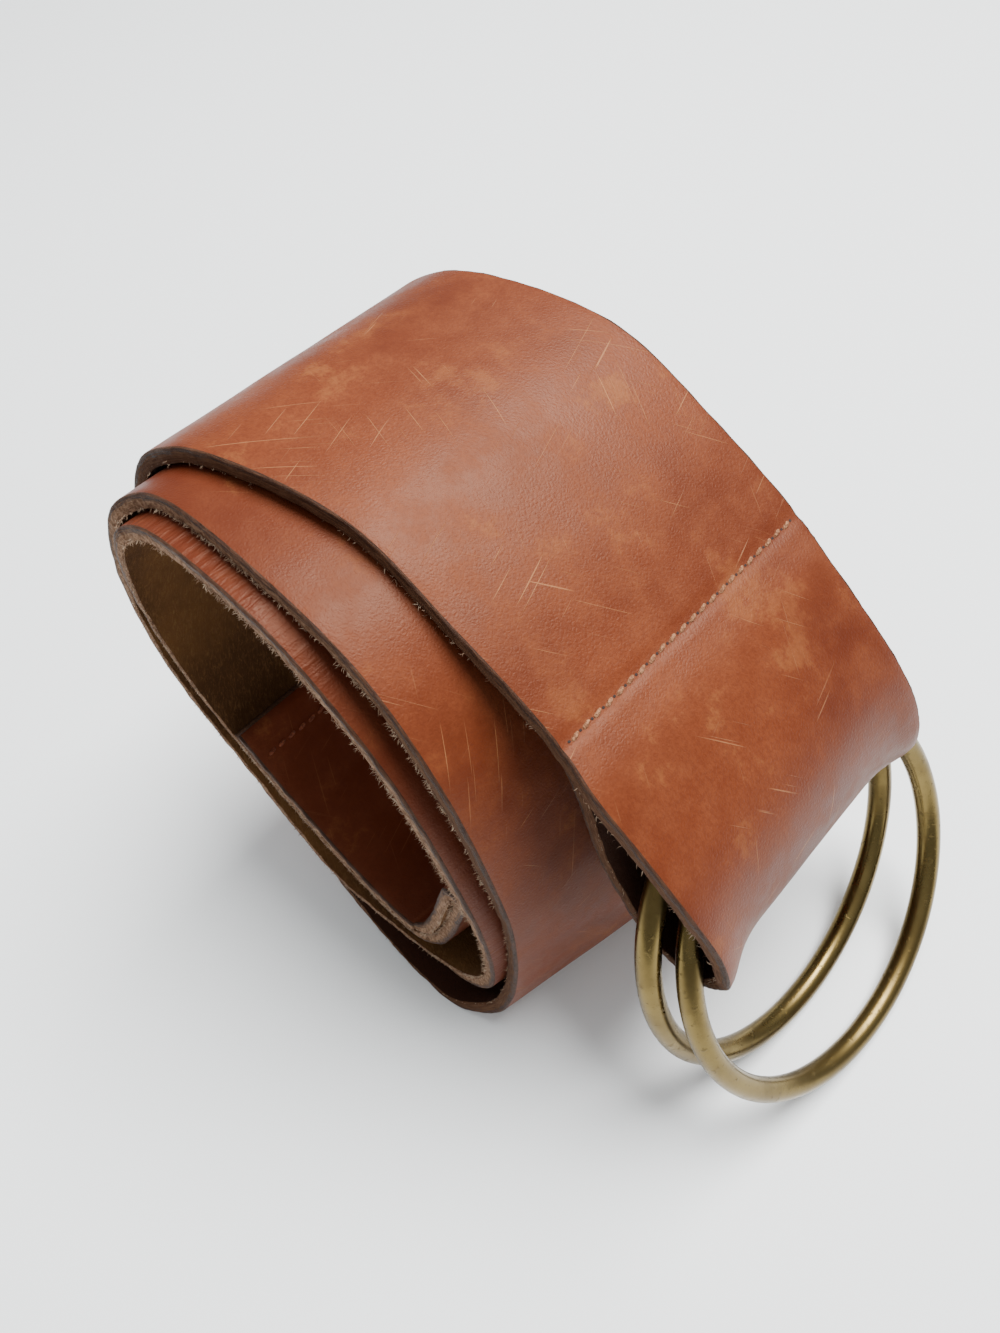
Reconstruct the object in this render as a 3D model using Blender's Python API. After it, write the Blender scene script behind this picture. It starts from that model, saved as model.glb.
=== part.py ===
"""Wide leather belt, rolled up in a loose leaning coil, with two plain rings in the loop at its
outer end.

The coil stands on its lower end on the floor and the two rings prop it up. X runs along the coil
towards the rings, Y across the belt away from the viewer, and Z is up. The origin is on the floor
under the middle of the object. Lengths are in millimetres until the meshes are made, in metres.
"""

import math

import bmesh
import bpy
import numpy as np

# Belt
BELT_WIDTH = 64.0
BELT_THICK = 3.0
EDGE_CHAMFER = 0.45
LAP_GAP = 0.40
SEAM_GAP = 0.35
HEM_LENGTH = 104.0
RAW_EDGE_PAST_SEAM = 5.0

# Coil: an oval that leans over, and how far its foot is twisted
COIL_LONG = 143.0
COIL_SHORT = 84.0
COIL_LEAN = math.radians(48.0)
FOOT_TWIST = math.radians(13.0)
FOOT_PRESS = 1.0

# Tail, from the top of the coil down to the seam
TAIL_LENGTH = 47.5
TAIL_FALL = math.radians(26.0)
TAIL_BULGE = 1.7
SEAM_EDGE = 0.288

# Loop that holds the rings, as a share of the room that they take up in it
LOOP_ROOM = 2.03
LOOP_FALL = math.radians(49.5)

# Rings
RING_WIRE = 4.9
RING_INSIDE = 71.0

# Fineness of the meshes
STEPS_PER_SECTION = 5
FOLD_STEPS = 8
RING_STEPS = 64
WIRE_STEPS = 14

# One row for each section of a turn: the angle round the oval from its lower end, how far the
# outer turn reaches as a share of the oval, how far each turn inside it stands off as a share of
# the least pitch, and where the near edge is on each turn as a share of the belt's width.
COIL_SECTIONS = (
    # angle, reach, stand_off, edge_1, edge_2, edge_3
    (120.0, 1.12, 1.15, 0.28, 0.06, -0.01),
    (150.0, 0.965, 1.13, 0.20, 0.06, -0.01),
    (165.0, 0.93, 1.10, 0.16, 0.035, -0.025),
    (180.0, 0.90, 1.18, 0.13, -0.01, -0.045),
    (210.0, 0.85, 1.16, 0.065, -0.055, -0.06),
    (240.0, 0.84, 1.09, 0.0, -0.08, -0.065),
    (270.0, 0.815, 1.12, -0.05, -0.08, -0.06),
    (285.0, 0.825, 1.18, -0.065, -0.085, -0.055),
    (300.0, 0.87, 1.30, -0.075, -0.085, -0.05),
    (315.0, 0.94, 1.58, -0.085, -0.055, -0.04),
    (330.0, 0.975, 1.85, -0.09, -0.03, None),
    (345.0, 0.985, 2.31, -0.08, -0.02, None),
    (360.0, 0.95, 2.20, -0.03, -0.02, None),
    (375.0, 0.885, 1.30, 0.005, -0.015, None),
    (390.0, 0.85, 1.02, 0.025, -0.01, None),
    (405.0, 0.865, 1.14, 0.035, -0.01, None),
    (420.0, 0.92, 1.49, 0.045, -0.01, None),
    (450.0, 1.14, 2.24, 0.045, -0.01, None),
    (465.0, 1.14, 1.94, 0.06, -0.01, None),
)

# The inner end of the third turn, which leaves the wall at the foot and curls up.
TIP_SECTIONS = (
    # angle, reach, edge
    (336.0, 0.755, -0.03),
    (348.0, 0.71, -0.015),
    (362.0, 0.645, -0.005),
    (379.0, 0.615, 0.0),
    (396.0, 0.635, 0.0),
    (413.0, 0.725, 0.0),
)

# The loop, from the seam down its outer side, round the fold and back up its hidden side. The
# lengths are shares of the loop's length, from the seam along it and aside to the hidden side.
LOOP_SECTIONS = (
    # along, aside, edge
    (0.14, -0.060, 0.265),
    (0.37, -0.102, 0.269),
    (0.62, -0.128, 0.277),
    (0.81, -0.098, 0.296),
    (0.95, -0.040, 0.304),
    (1.04, 0.050, 0.323),
    (1.07, 0.165, 0.323),
    (1.02, 0.268, 0.323),
    (0.89, 0.326, 0.320),
    (0.71, 0.326, 0.323),
    (0.51, 0.276, 0.316),
    (0.33, 0.195, 0.312),
    (0.17, 0.130, 0.312),
)

# Where each ring's wire crosses the belt's edges, as shares of the loop's length from the seam
# along it and aside, and where the ring's middle is as a share of the belt's width.
RING_PLACES = (
    # name, along, aside, middle
    ("ring_front", 0.90, 0.115, 0.82),
    ("ring_back", 0.765, 0.175, 0.79),
)


def direction(angle):
    return np.array([math.cos(angle), math.sin(angle)])


def unit(vector):
    return vector / np.linalg.norm(vector)


def left_of(vector):
    return np.array([-vector[1], vector[0]])


def smooth(value):
    value = min(max(value, 0.0), 1.0)
    return value * value * (3.0 - 2.0 * value)


def on_oval(angle, reach):
    """Point at an angle in degrees round the coil's oval, at a share of the oval's reach."""
    turn = math.radians(angle)
    long_way = direction(-COIL_LEAN)
    far = COIL_LONG / 2 * reach * math.cos(turn)
    side = COIL_SHORT / 2 * reach * math.sin(turn)
    return far * long_way + side * left_of(long_way)


def coil_controls():
    """Control points (x, z, edge) of the grain side, from the top of the coil to the tip."""
    pitch = BELT_THICK + LAP_GAP
    outer = [on_oval(row[0], row[1]) for row in COIL_SECTIONS]
    controls = []
    for turn in range(3):
        for number, row in enumerate(COIL_SECTIONS):
            edge = row[3 + turn]
            if edge is None:
                break
            ahead = outer[(number + 1) % len(outer)]
            inward = left_of(unit(ahead - outer[number - 1]))
            place = outer[number] + turn * row[2] * pitch * inward
            controls.append((*place, edge))
    for angle, reach, edge in TIP_SECTIONS:
        controls.append((*on_oval(angle, reach), edge))
    return controls


def ring_radius():
    return (RING_INSIDE + RING_WIRE) / 2


def crossing_depth():
    """How far above a ring's middle its wire leaves the belt's edges."""
    return math.sqrt(ring_radius() ** 2 - (BELT_WIDTH / 2) ** 2)


def loop_length():
    rise_in_loop = ring_radius() - crossing_depth()
    return LOOP_ROOM * (rise_in_loop + 2 * RING_WIRE)


def seam_place():
    top = on_oval(*COIL_SECTIONS[0][:2])
    return top + TAIL_LENGTH * direction(-TAIL_FALL)


def loop_point(along, aside):
    way = direction(-LOOP_FALL)
    return seam_place() + loop_length() * (along * way - aside * left_of(way))


def tail_controls():
    """Control points (x, z, edge) from the raw edge under the seam, round the loop, to the coil."""
    seam = seam_place()
    top = on_oval(*COIL_SECTIONS[0][:2])
    middle = (seam + top) / 2 + TAIL_BULGE * left_of(direction(-TAIL_FALL))
    first_row = LOOP_SECTIONS[0]
    back = unit(middle - loop_point(first_row[0], first_row[1]))
    under = seam + (2 * BELT_THICK + SEAM_GAP) * left_of(back)
    hidden_edge = LOOP_SECTIONS[-1][2]
    controls = [(*(under + RAW_EDGE_PAST_SEAM * back), hidden_edge), (*under, hidden_edge)]
    for along, aside, edge in reversed(LOOP_SECTIONS):
        controls.append((*loop_point(along, aside), edge))
    controls.append((*seam, SEAM_EDGE))
    controls.append((*middle, (SEAM_EDGE + COIL_SECTIONS[0][3]) / 2))
    return controls


def spline(controls, steps):
    """Smooth curve through the control points, with even speed whatever their spacing."""
    points = np.array(controls)
    ends = (2 * points[0] - points[1], 2 * points[-1] - points[-2])
    points = np.vstack([ends[0], points, ends[1]])
    found = []
    for number in range(1, len(points) - 2):
        before, start, end, after = points[number - 1:number + 3]
        gap_before = math.sqrt(np.linalg.norm(start - before))
        gap = math.sqrt(np.linalg.norm(end - start))
        gap_after = math.sqrt(np.linalg.norm(after - end))
        leave = (end - start) + gap * (
            (start - before) / gap_before - (end - before) / (gap_before + gap)
        )
        arrive = (end - start) + gap * (
            (after - end) / gap_after - (after - start) / (gap + gap_after)
        )
        for step in range(steps):
            share = step / steps
            rise = share * share * (3.0 - 2.0 * share)
            early = share * (1.0 - share) ** 2
            late = -share * share * (1.0 - share)
            found.append(start + rise * (end - start) + early * leave + late * arrive)
    found.append(points[-2])
    return np.array(found)


def twist_at(place):
    """How far the belt is turned about the upright there, none except at the coil's foot."""
    towards_foot = smooth((place[0] / COIL_LONG - 0.04) / 0.24)
    downwards = smooth((0.105 - place[1] / COIL_LONG) / 0.275)
    return FOOT_TWIST * towards_foot * downwards


def hem(route):
    """Rows (x, z, edge, twist) from the tip round the fold and back along the flesh side."""
    fold_radius = BELT_THICK + SEAM_GAP / 2
    way = unit(route[-1, :2] - route[-2, :2])
    inward = left_of(way)
    middle = route[-1, :2] + fold_radius * inward
    rows = []
    for step in range(1, FOLD_STEPS + 1):
        turn = math.pi * step / FOLD_STEPS
        place = middle + fold_radius * (math.sin(turn) * way - math.cos(turn) * inward)
        rows.append((*place, *route[-1, 2:]))
    length = 0.0
    number = len(route) - 2
    while length < HEM_LENGTH:
        way = unit(route[number + 1, :2] - route[number - 1, :2])
        length += np.linalg.norm(route[number + 1, :2] - route[number, :2])
        place = route[number, :2] + 2 * fold_radius * left_of(way)
        rows.append((*place, *route[number, 2:]))
        number -= 1
    return rows


def belt_route():
    """Rows (x, z, edge, twist) of the grain side, from the raw edge at the seam to the hem's."""
    tail = tail_controls()
    rows = spline(tail + coil_controls(), STEPS_PER_SECTION)
    twists = np.zeros(len(rows))
    for number in range(len(tail) * STEPS_PER_SECTION, len(rows)):
        twists[number] = twist_at(rows[number])
    route = np.column_stack([rows, twists])
    return np.vstack([route, hem(route)])


def belt_sections(route):
    """Eight corners of the belt's cross-section at each row of its route."""
    chamfer = EDGE_CHAMFER
    profile = (
        # across, depth
        (chamfer, 0.0),
        (BELT_WIDTH - chamfer, 0.0),
        (BELT_WIDTH, chamfer),
        (BELT_WIDTH, BELT_THICK - chamfer),
        (BELT_WIDTH - chamfer, BELT_THICK),
        (chamfer, BELT_THICK),
        (0.0, BELT_THICK - chamfer),
        (0.0, chamfer),
    )
    across = np.column_stack(
        [np.sin(route[:, 3]), np.cos(route[:, 3]), np.zeros(len(route))]
    )
    flat = np.column_stack([route[:, 0], np.zeros(len(route)), route[:, 1]])
    near = flat + across * (BELT_WIDTH * route[:, 2] / np.cos(route[:, 3]))[:, None]
    way = np.gradient(near + across * BELT_WIDTH / 2, axis=0)
    inward = np.cross(way, across)
    inward /= np.linalg.norm(inward, axis=1)[:, None]
    return np.stack([near + a * across + d * inward for a, d in profile], axis=1)


def ring_stance(along, aside, middle, floor):
    """Middle (x, y, z) and lean of a ring that stands on the floor and crosses the belt's edges."""
    crossing = loop_point(along, aside)
    reach = ring_radius() + crossing_depth()
    height = crossing[1] - floor - RING_WIRE / 2
    lean = math.acos(min(height / reach, 0.985))
    centre = crossing + crossing_depth() * direction(lean - math.pi / 2)
    return (centre[0], middle * BELT_WIDTH, centre[1]), lean


def material(name, colour, metallic, roughness):
    made = bpy.data.materials.new(name)
    made.use_nodes = True
    shader = made.node_tree.nodes["Principled BSDF"]
    shader.inputs["Base Color"].default_value = (*colour, 1.0)
    shader.inputs["Metallic"].default_value = metallic
    shader.inputs["Roughness"].default_value = roughness
    return made


def add_belt(sections, leather):
    """The belt as one closed body of flat faces between its cross-sections."""
    mesh = bmesh.new()
    outlines = []
    for section in sections:
        outlines.append([mesh.verts.new(corner / 1000) for corner in section])
    for one, other in zip(outlines, outlines[1:]):
        for corner in range(len(one)):
            after = (corner + 1) % len(one)
            mesh.faces.new((one[corner], one[after], other[after], other[corner]))
    mesh.faces.new(list(reversed(outlines[0])))
    mesh.faces.new(outlines[-1])
    bmesh.ops.triangulate(mesh, faces=mesh.faces)
    bmesh.ops.recalc_face_normals(mesh, faces=mesh.faces)
    data = bpy.data.meshes.new("strap")
    mesh.to_mesh(data)
    mesh.free()
    data.materials.append(leather)
    bpy.context.scene.collection.objects.link(bpy.data.objects.new("strap", data))


def add_ring(name, place, lean, brass):
    bpy.ops.mesh.primitive_torus_add(
        major_radius=ring_radius() / 1000,
        minor_radius=RING_WIRE / 2000,
        major_segments=RING_STEPS,
        minor_segments=WIRE_STEPS,
        location=place / 1000,
        rotation=(0.0, math.pi / 2 - lean, 0.0),
    )
    ring = bpy.context.active_object
    ring.name = name
    ring.data.materials.append(brass)


def main():
    for thing in list(bpy.data.objects):
        bpy.data.objects.remove(thing)
    leather = material("tan_leather", (0.33, 0.105, 0.04), 0.0, 0.45)
    brass = material("antique_brass", (0.40, 0.30, 0.14), 1.0, 0.28)
    sections = belt_sections(belt_route())
    floor = sections[..., 2].min() + FOOT_PRESS
    sections[..., 2] = np.maximum(sections[..., 2], floor)
    stances = {}
    for name, along, aside, middle in RING_PLACES:
        stances[name] = ring_stance(along, aside, middle, floor)
    low = sections.min(axis=(0, 1))
    high = sections.max(axis=(0, 1))
    for place, lean in stances.values():
        half = np.array(
            [
                ring_radius() * math.sin(lean) + RING_WIRE / 2,
                ring_radius() + RING_WIRE / 2,
                ring_radius() * math.cos(lean) + RING_WIRE / 2,
            ]
        )
        low = np.minimum(low, np.array(place) - half)
        high = np.maximum(high, np.array(place) + half)
    origin = np.array([(low[0] + high[0]) / 2, (low[1] + high[1]) / 2, low[2]])
    add_belt(sections - origin, leather)
    for name, (place, lean) in stances.items():
        add_ring(name, np.array(place) - origin, lean, brass)


main()
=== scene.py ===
import math

import bpy
import numpy as np
from mathutils import Matrix, Vector


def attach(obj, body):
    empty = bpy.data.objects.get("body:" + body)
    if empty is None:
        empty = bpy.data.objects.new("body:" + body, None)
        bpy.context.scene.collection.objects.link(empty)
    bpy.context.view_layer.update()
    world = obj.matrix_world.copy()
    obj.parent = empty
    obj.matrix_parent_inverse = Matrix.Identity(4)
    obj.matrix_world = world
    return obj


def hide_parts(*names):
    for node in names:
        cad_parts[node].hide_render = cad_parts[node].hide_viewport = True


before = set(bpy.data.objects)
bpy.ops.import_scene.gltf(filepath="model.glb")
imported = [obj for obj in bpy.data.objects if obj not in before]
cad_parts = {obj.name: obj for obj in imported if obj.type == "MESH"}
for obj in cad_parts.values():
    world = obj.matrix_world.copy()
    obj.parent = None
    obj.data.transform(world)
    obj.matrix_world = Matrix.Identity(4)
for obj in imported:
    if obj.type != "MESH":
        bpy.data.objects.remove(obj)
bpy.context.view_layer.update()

# The strap's sizes and tables are those of the part's source, in millimetres, because the strap is
# drawn here again with a finer mesh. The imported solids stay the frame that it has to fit.

# Belt
BELT_WIDTH = 64.0
BELT_THICK = 3.0
LAP_GAP = 0.40
SEAM_GAP = 0.35
HEM_LENGTH = 104.0
RAW_EDGE_PAST_SEAM = 5.0

# Coil: an oval that leans over, and how far its foot is twisted
COIL_LONG = 143.0
COIL_SHORT = 84.0
COIL_LEAN = math.radians(48.0)
FOOT_TWIST = math.radians(13.0)
FOOT_PRESS = 1.0

# Where the twist grows towards the foot and downwards: its start and the length that it grows
# over, as shares of the coil's length
TWIST_ASIDE = (0.04, 0.24)
TWIST_DOWN = (0.105, 0.275)

# Tail, from the top of the coil down to the seam
TAIL_LENGTH = 47.5
TAIL_FALL = math.radians(26.0)
TAIL_BULGE = 1.7
SEAM_EDGE = 0.288

# Loop that holds the rings, as a share of the room that they take up in it
LOOP_ROOM = 2.03
LOOP_FALL = math.radians(49.5)

# Rings
RING_WIRE = 4.9
RING_INSIDE = 71.0

# The most of its reach that a ring's height may be, so that it never stands quite upright
STEEPEST_RING = 0.985

# Fineness of the drawn strap
STEPS_PER_SECTION = 12
FOLD_STEPS = 16

# One row for each section of a turn: the angle round the oval from its lower end, how far the
# outer turn reaches as a share of the oval, how far each turn inside it stands off as a share of
# the least pitch, and where the near edge is on each turn as a share of the belt's width.
COIL_SECTIONS = (
    # angle, reach, stand_off, edge_1, edge_2, edge_3
    (120.0, 1.12, 1.15, 0.28, 0.06, -0.01),
    (150.0, 0.965, 1.13, 0.20, 0.06, -0.01),
    (165.0, 0.93, 1.10, 0.16, 0.035, -0.025),
    (180.0, 0.90, 1.18, 0.13, -0.01, -0.045),
    (210.0, 0.85, 1.16, 0.065, -0.055, -0.06),
    (240.0, 0.84, 1.09, 0.0, -0.08, -0.065),
    (270.0, 0.815, 1.12, -0.05, -0.08, -0.06),
    (285.0, 0.825, 1.18, -0.065, -0.085, -0.055),
    (300.0, 0.87, 1.30, -0.075, -0.085, -0.05),
    (315.0, 0.94, 1.58, -0.085, -0.055, -0.04),
    (330.0, 0.975, 1.85, -0.09, -0.03, None),
    (345.0, 0.985, 2.31, -0.08, -0.02, None),
    (360.0, 0.95, 2.20, -0.03, -0.02, None),
    (375.0, 0.885, 1.30, 0.005, -0.015, None),
    (390.0, 0.85, 1.02, 0.025, -0.01, None),
    (405.0, 0.865, 1.14, 0.035, -0.01, None),
    (420.0, 0.92, 1.49, 0.045, -0.01, None),
    (450.0, 1.14, 2.24, 0.045, -0.01, None),
    (465.0, 1.14, 1.94, 0.06, -0.01, None),
)

# The inner end of the third turn, which leaves the wall at the foot and curls up.
TIP_SECTIONS = (
    # angle, reach, edge
    (336.0, 0.755, -0.03),
    (348.0, 0.71, -0.015),
    (362.0, 0.645, -0.005),
    (379.0, 0.615, 0.0),
    (396.0, 0.635, 0.0),
    (413.0, 0.725, 0.0),
)

# The loop, from the seam down its outer side, round the fold and back up its hidden side. The
# lengths are shares of the loop's length, from the seam along it and aside to the hidden side.
LOOP_SECTIONS = (
    # along, aside, edge
    (0.14, -0.060, 0.265),
    (0.37, -0.102, 0.269),
    (0.62, -0.128, 0.277),
    (0.81, -0.098, 0.296),
    (0.95, -0.040, 0.304),
    (1.04, 0.050, 0.323),
    (1.07, 0.165, 0.323),
    (1.02, 0.268, 0.323),
    (0.89, 0.326, 0.320),
    (0.71, 0.326, 0.323),
    (0.51, 0.276, 0.316),
    (0.33, 0.195, 0.312),
    (0.17, 0.130, 0.312),
)

# Where each ring's wire crosses the belt's edges, as shares of the loop's length from the seam
# along it and aside, and where the ring's middle is as a share of the belt's width.
RING_PLACES = (
    # name, along, aside, middle
    ("ring_front", 0.90, 0.115, 0.82),
    ("ring_back", 0.765, 0.175, 0.79),
)


def direction(angle):
    return np.array([math.cos(angle), math.sin(angle)])


def unit(vector):
    return vector / np.linalg.norm(vector)


def left_of(vector):
    return np.array([-vector[1], vector[0]])


def smooth(value):
    value = min(max(value, 0.0), 1.0)
    return value * value * (3.0 - 2.0 * value)


def on_oval(angle, reach):
    """Point at an angle in degrees round the coil's oval, at a share of the oval's reach."""
    turn = math.radians(angle)
    long_way = direction(-COIL_LEAN)
    far = COIL_LONG / 2 * reach * math.cos(turn)
    side = COIL_SHORT / 2 * reach * math.sin(turn)
    return far * long_way + side * left_of(long_way)


def coil_controls():
    """Control points (x, z, edge) of the grain side, from the top of the coil to the tip."""
    pitch = BELT_THICK + LAP_GAP
    outer = [on_oval(row[0], row[1]) for row in COIL_SECTIONS]
    controls = []
    for turn in range(3):
        for number, row in enumerate(COIL_SECTIONS):
            edge = row[3 + turn]
            if edge is None:
                break
            ahead = outer[(number + 1) % len(outer)]
            inward = left_of(unit(ahead - outer[number - 1]))
            place = outer[number] + turn * row[2] * pitch * inward
            controls.append((*place, edge))
    for angle, reach, edge in TIP_SECTIONS:
        controls.append((*on_oval(angle, reach), edge))
    return controls


def ring_radius():
    return (RING_INSIDE + RING_WIRE) / 2


def crossing_depth():
    """How far above a ring's middle its wire leaves the belt's edges."""
    return math.sqrt(ring_radius() ** 2 - (BELT_WIDTH / 2) ** 2)


def loop_length():
    rise_in_loop = ring_radius() - crossing_depth()
    return LOOP_ROOM * (rise_in_loop + 2 * RING_WIRE)


def seam_place():
    top = on_oval(*COIL_SECTIONS[0][:2])
    return top + TAIL_LENGTH * direction(-TAIL_FALL)


def loop_point(along, aside):
    way = direction(-LOOP_FALL)
    return seam_place() + loop_length() * (along * way - aside * left_of(way))


def tail_controls():
    """Control points (x, z, edge) from the raw edge under the seam, round the loop, to the coil."""
    seam = seam_place()
    top = on_oval(*COIL_SECTIONS[0][:2])
    middle = (seam + top) / 2 + TAIL_BULGE * left_of(direction(-TAIL_FALL))
    first_row = LOOP_SECTIONS[0]
    back = unit(middle - loop_point(first_row[0], first_row[1]))
    under = seam + (2 * BELT_THICK + SEAM_GAP) * left_of(back)
    hidden_edge = LOOP_SECTIONS[-1][2]
    controls = [(*(under + RAW_EDGE_PAST_SEAM * back), hidden_edge), (*under, hidden_edge)]
    for along, aside, edge in reversed(LOOP_SECTIONS):
        controls.append((*loop_point(along, aside), edge))
    controls.append((*seam, SEAM_EDGE))
    controls.append((*middle, (SEAM_EDGE + COIL_SECTIONS[0][3]) / 2))
    return controls


def spline(controls, steps):
    """Smooth curve through the control points, with even speed whatever their spacing."""
    points = np.array(controls)
    ends = (2 * points[0] - points[1], 2 * points[-1] - points[-2])
    points = np.vstack([ends[0], points, ends[1]])
    found = []
    for number in range(1, len(points) - 2):
        before, start, end, after = points[number - 1:number + 3]
        gap_before = math.sqrt(np.linalg.norm(start - before))
        gap = math.sqrt(np.linalg.norm(end - start))
        gap_after = math.sqrt(np.linalg.norm(after - end))
        leave = (end - start) + gap * (
            (start - before) / gap_before - (end - before) / (gap_before + gap)
        )
        arrive = (end - start) + gap * (
            (after - end) / gap_after - (after - start) / (gap + gap_after)
        )
        for step in range(steps):
            share = step / steps
            rise = share * share * (3.0 - 2.0 * share)
            early = share * (1.0 - share) ** 2
            late = -share * share * (1.0 - share)
            found.append(start + rise * (end - start) + early * leave + late * arrive)
    found.append(points[-2])
    return np.array(found)


def twist_at(place):
    """How far the belt is turned about the upright there, none except at the coil's foot."""
    aside, aside_over = TWIST_ASIDE
    down, down_over = TWIST_DOWN
    towards_foot = smooth((place[0] / COIL_LONG - aside) / aside_over)
    downwards = smooth((down - place[1] / COIL_LONG) / down_over)
    return FOOT_TWIST * towards_foot * downwards


def hem(route):
    """Rows (x, z, edge, twist) from the tip round the fold and back along the flesh side."""
    fold_radius = BELT_THICK + SEAM_GAP / 2
    way = unit(route[-1, :2] - route[-2, :2])
    inward = left_of(way)
    middle = route[-1, :2] + fold_radius * inward
    rows = []
    for step in range(1, FOLD_STEPS + 1):
        turn = math.pi * step / FOLD_STEPS
        place = middle + fold_radius * (math.sin(turn) * way - math.cos(turn) * inward)
        rows.append((*place, *route[-1, 2:]))
    length = 0.0
    number = len(route) - 2
    while length < HEM_LENGTH:
        way = unit(route[number + 1, :2] - route[number - 1, :2])
        length += np.linalg.norm(route[number + 1, :2] - route[number, :2])
        place = route[number, :2] + 2 * fold_radius * left_of(way)
        rows.append((*place, *route[number, 2:]))
        number -= 1
    return rows


def belt_route():
    """Rows (x, z, edge, twist) of the grain side, from the raw edge at the seam to the hem's."""
    tail = tail_controls()
    rows = spline(tail + coil_controls(), STEPS_PER_SECTION)
    twists = np.zeros(len(rows))
    for number in range(len(tail) * STEPS_PER_SECTION, len(rows)):
        twists[number] = twist_at(rows[number])
    route = np.column_stack([rows, twists])
    return np.vstack([route, hem(route)])


def ring_stance(along, aside, middle, floor):
    """Middle (x, y, z) and lean of a ring that stands on the floor and crosses the belt's edges."""
    crossing = loop_point(along, aside)
    reach = ring_radius() + crossing_depth()
    height = crossing[1] - floor - RING_WIRE / 2
    lean = math.acos(min(height / reach, STEEPEST_RING))
    centre = crossing + crossing_depth() * direction(lean - math.pi / 2)
    return (centre[0], middle * BELT_WIDTH, centre[1]), lean


# Camera, as it stands to the oval's middle: place in millimetres, then heading, pitch and roll
CAMERA_PLACE = (94.2, -36.9, 161.4)
CAMERA_HEADING = math.radians(47.1)
CAMERA_PITCH = math.radians(54.5)
CAMERA_ROLL = math.radians(-5.3)
CAMERA_LENS = 34.7
CAMERA_NEAREST = 0.01

# Drawn strap: columns of faces across each side, and how the corners are cut, in millimetres
GRAIN_COLUMNS = 40
FLESH_COLUMNS = 24
EDGE_COLUMNS = 5
EDGE_ROUND = 0.55
FLESH_CORNER = 0.2
FLESH_INSET = 0.15

# Waist of the fold: its depth, its middle and half length in sections of the route, the width
# over which it fades towards the belt's edges, and the share that the far edge is spared
WAIST_DEPTH = 3.2
WAIST_MIDDLE = 9.4
WAIST_HALF = 3.4
WAIST_FLARE = 7.0
WAIST_SPARED = 0.8

# Groove that the seam pulls into the leather: depth and half width
SEAM_DIP = 0.40
SEAM_DIP_HALF = 1.1

# Unevenness of the leather, each row a sum of sine waves
LEATHER_WAVES = (
    # height, seed, longest, count
    (0.10, 3, 46.0, 5),
    (0.03, 4, 9.0, 6),
)

# Unevenness of the cut edges, with how many times shorter the waves are down the edge than along
# it, and how far in from the edge's outermost points it reaches
FRAY_WAVES = (
    # height, seed, longest, count, squeeze
    (0.16, 5, 14.0, 7, 3),
    (0.14, 6, 4.5, 5, 1),
)
FRAY_INSET = 0.4

# Looks of the inner turns, in sections of the route: how long before the second turn they start to
# come in, over what length they do, and over what length the pale edge fades out at the strap's end.
# The grain of the inner turns is painted darker as shade, and the flesh outside these turns, on the
# tail, the loop, the outer turn and at the strap's end, is painted darker as shade.
INNER_LEAD = 3
INNER_FADE = 5
END_FADE = 1

# How a bend is measured: rows of the route that are averaged, least step between them, contrast
BEND_ROWS = 9
BEND_LEAST_STEP = 0.02
BEND_CONTRAST = 2.2

# Fine creases, in sections of the route from where the third turn starts
CREASES = (
    # middle, half, strength
    (2.5, 4.5, 1.0),
    (-6.0, 6.0, 0.25),
)

# Seam and hem stitches, with the arch and the sunk ends as shares of the thread's thickness
STITCHES = 22
STITCH_SEED = 11
STITCH_FILL = 0.70
STITCH_SLANT = 0.5
STITCH_WANDER = 0.10
STITCH_ARCH = 0.52
STITCH_SUNK = 0.42
STITCH_TAPER = 0.4
STITCH_POINTS = 9
THREAD = 0.8
THREAD_SIDES = 8
STITCH_MARGIN = 2.2
HEM_STITCH_INSET = 7.0

# A direction that no path of a tube runs along, which settles where its sides are
TUBE_GUIDE = (0.31, 0.17, 0.93)

# Needle holes: half sizes across and along the strap, how far the middle stands out, and the rings
# of points round it
HOLE_HALF_ACROSS = 0.42
HOLE_HALF_ALONG = 0.55
HOLE_LIFT = 0.06
HOLE_SIDES = 10
HOLE_RINGS = (
    # share of the half size, drop
    (0.6, 0.01),
    (1.0, 0.16),
)

# Fibres on the cut edges, with lengths in millimetres
FIBRES = 18000
FIBRE_SEED = 7
FIBRE_LENGTH = 1.0
FIBRE_SHORTEST = 0.25
FIBRE_SHORTNESS = 1.5
FIBRE_WIDTH = 0.12
FIBRE_ROOT = 0.12
FIBRE_BAND = 0.32
FIBRE_RISE = 0.05
FIBRE_SWEEP = 0.9
FIBRE_OUTWARD = 0.8
FIBRE_INWARD = 0.55
FIBRE_CURL = 0.35
OUTER_TURN_BARE = 0.86
FAR_EDGE_SHARE = 0.35

# A fibre is left out where these waves along the strap add up to less than a random limit
CLUMP_LIMITS = (-2.0, 0.6)
CLUMP_WAVES = (
    # pace, phase
    (0.9, 0.0),
    (0.23, 1.0),
)

# Drawn rings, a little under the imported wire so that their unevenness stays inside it
RING_ROWS = 192
WIRE_ROWS = 32
WIRE_SPARE = 0.03
WIRE_UNEVEN = 0.01
WIRE_WAVES = (3, 5, 11)

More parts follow.
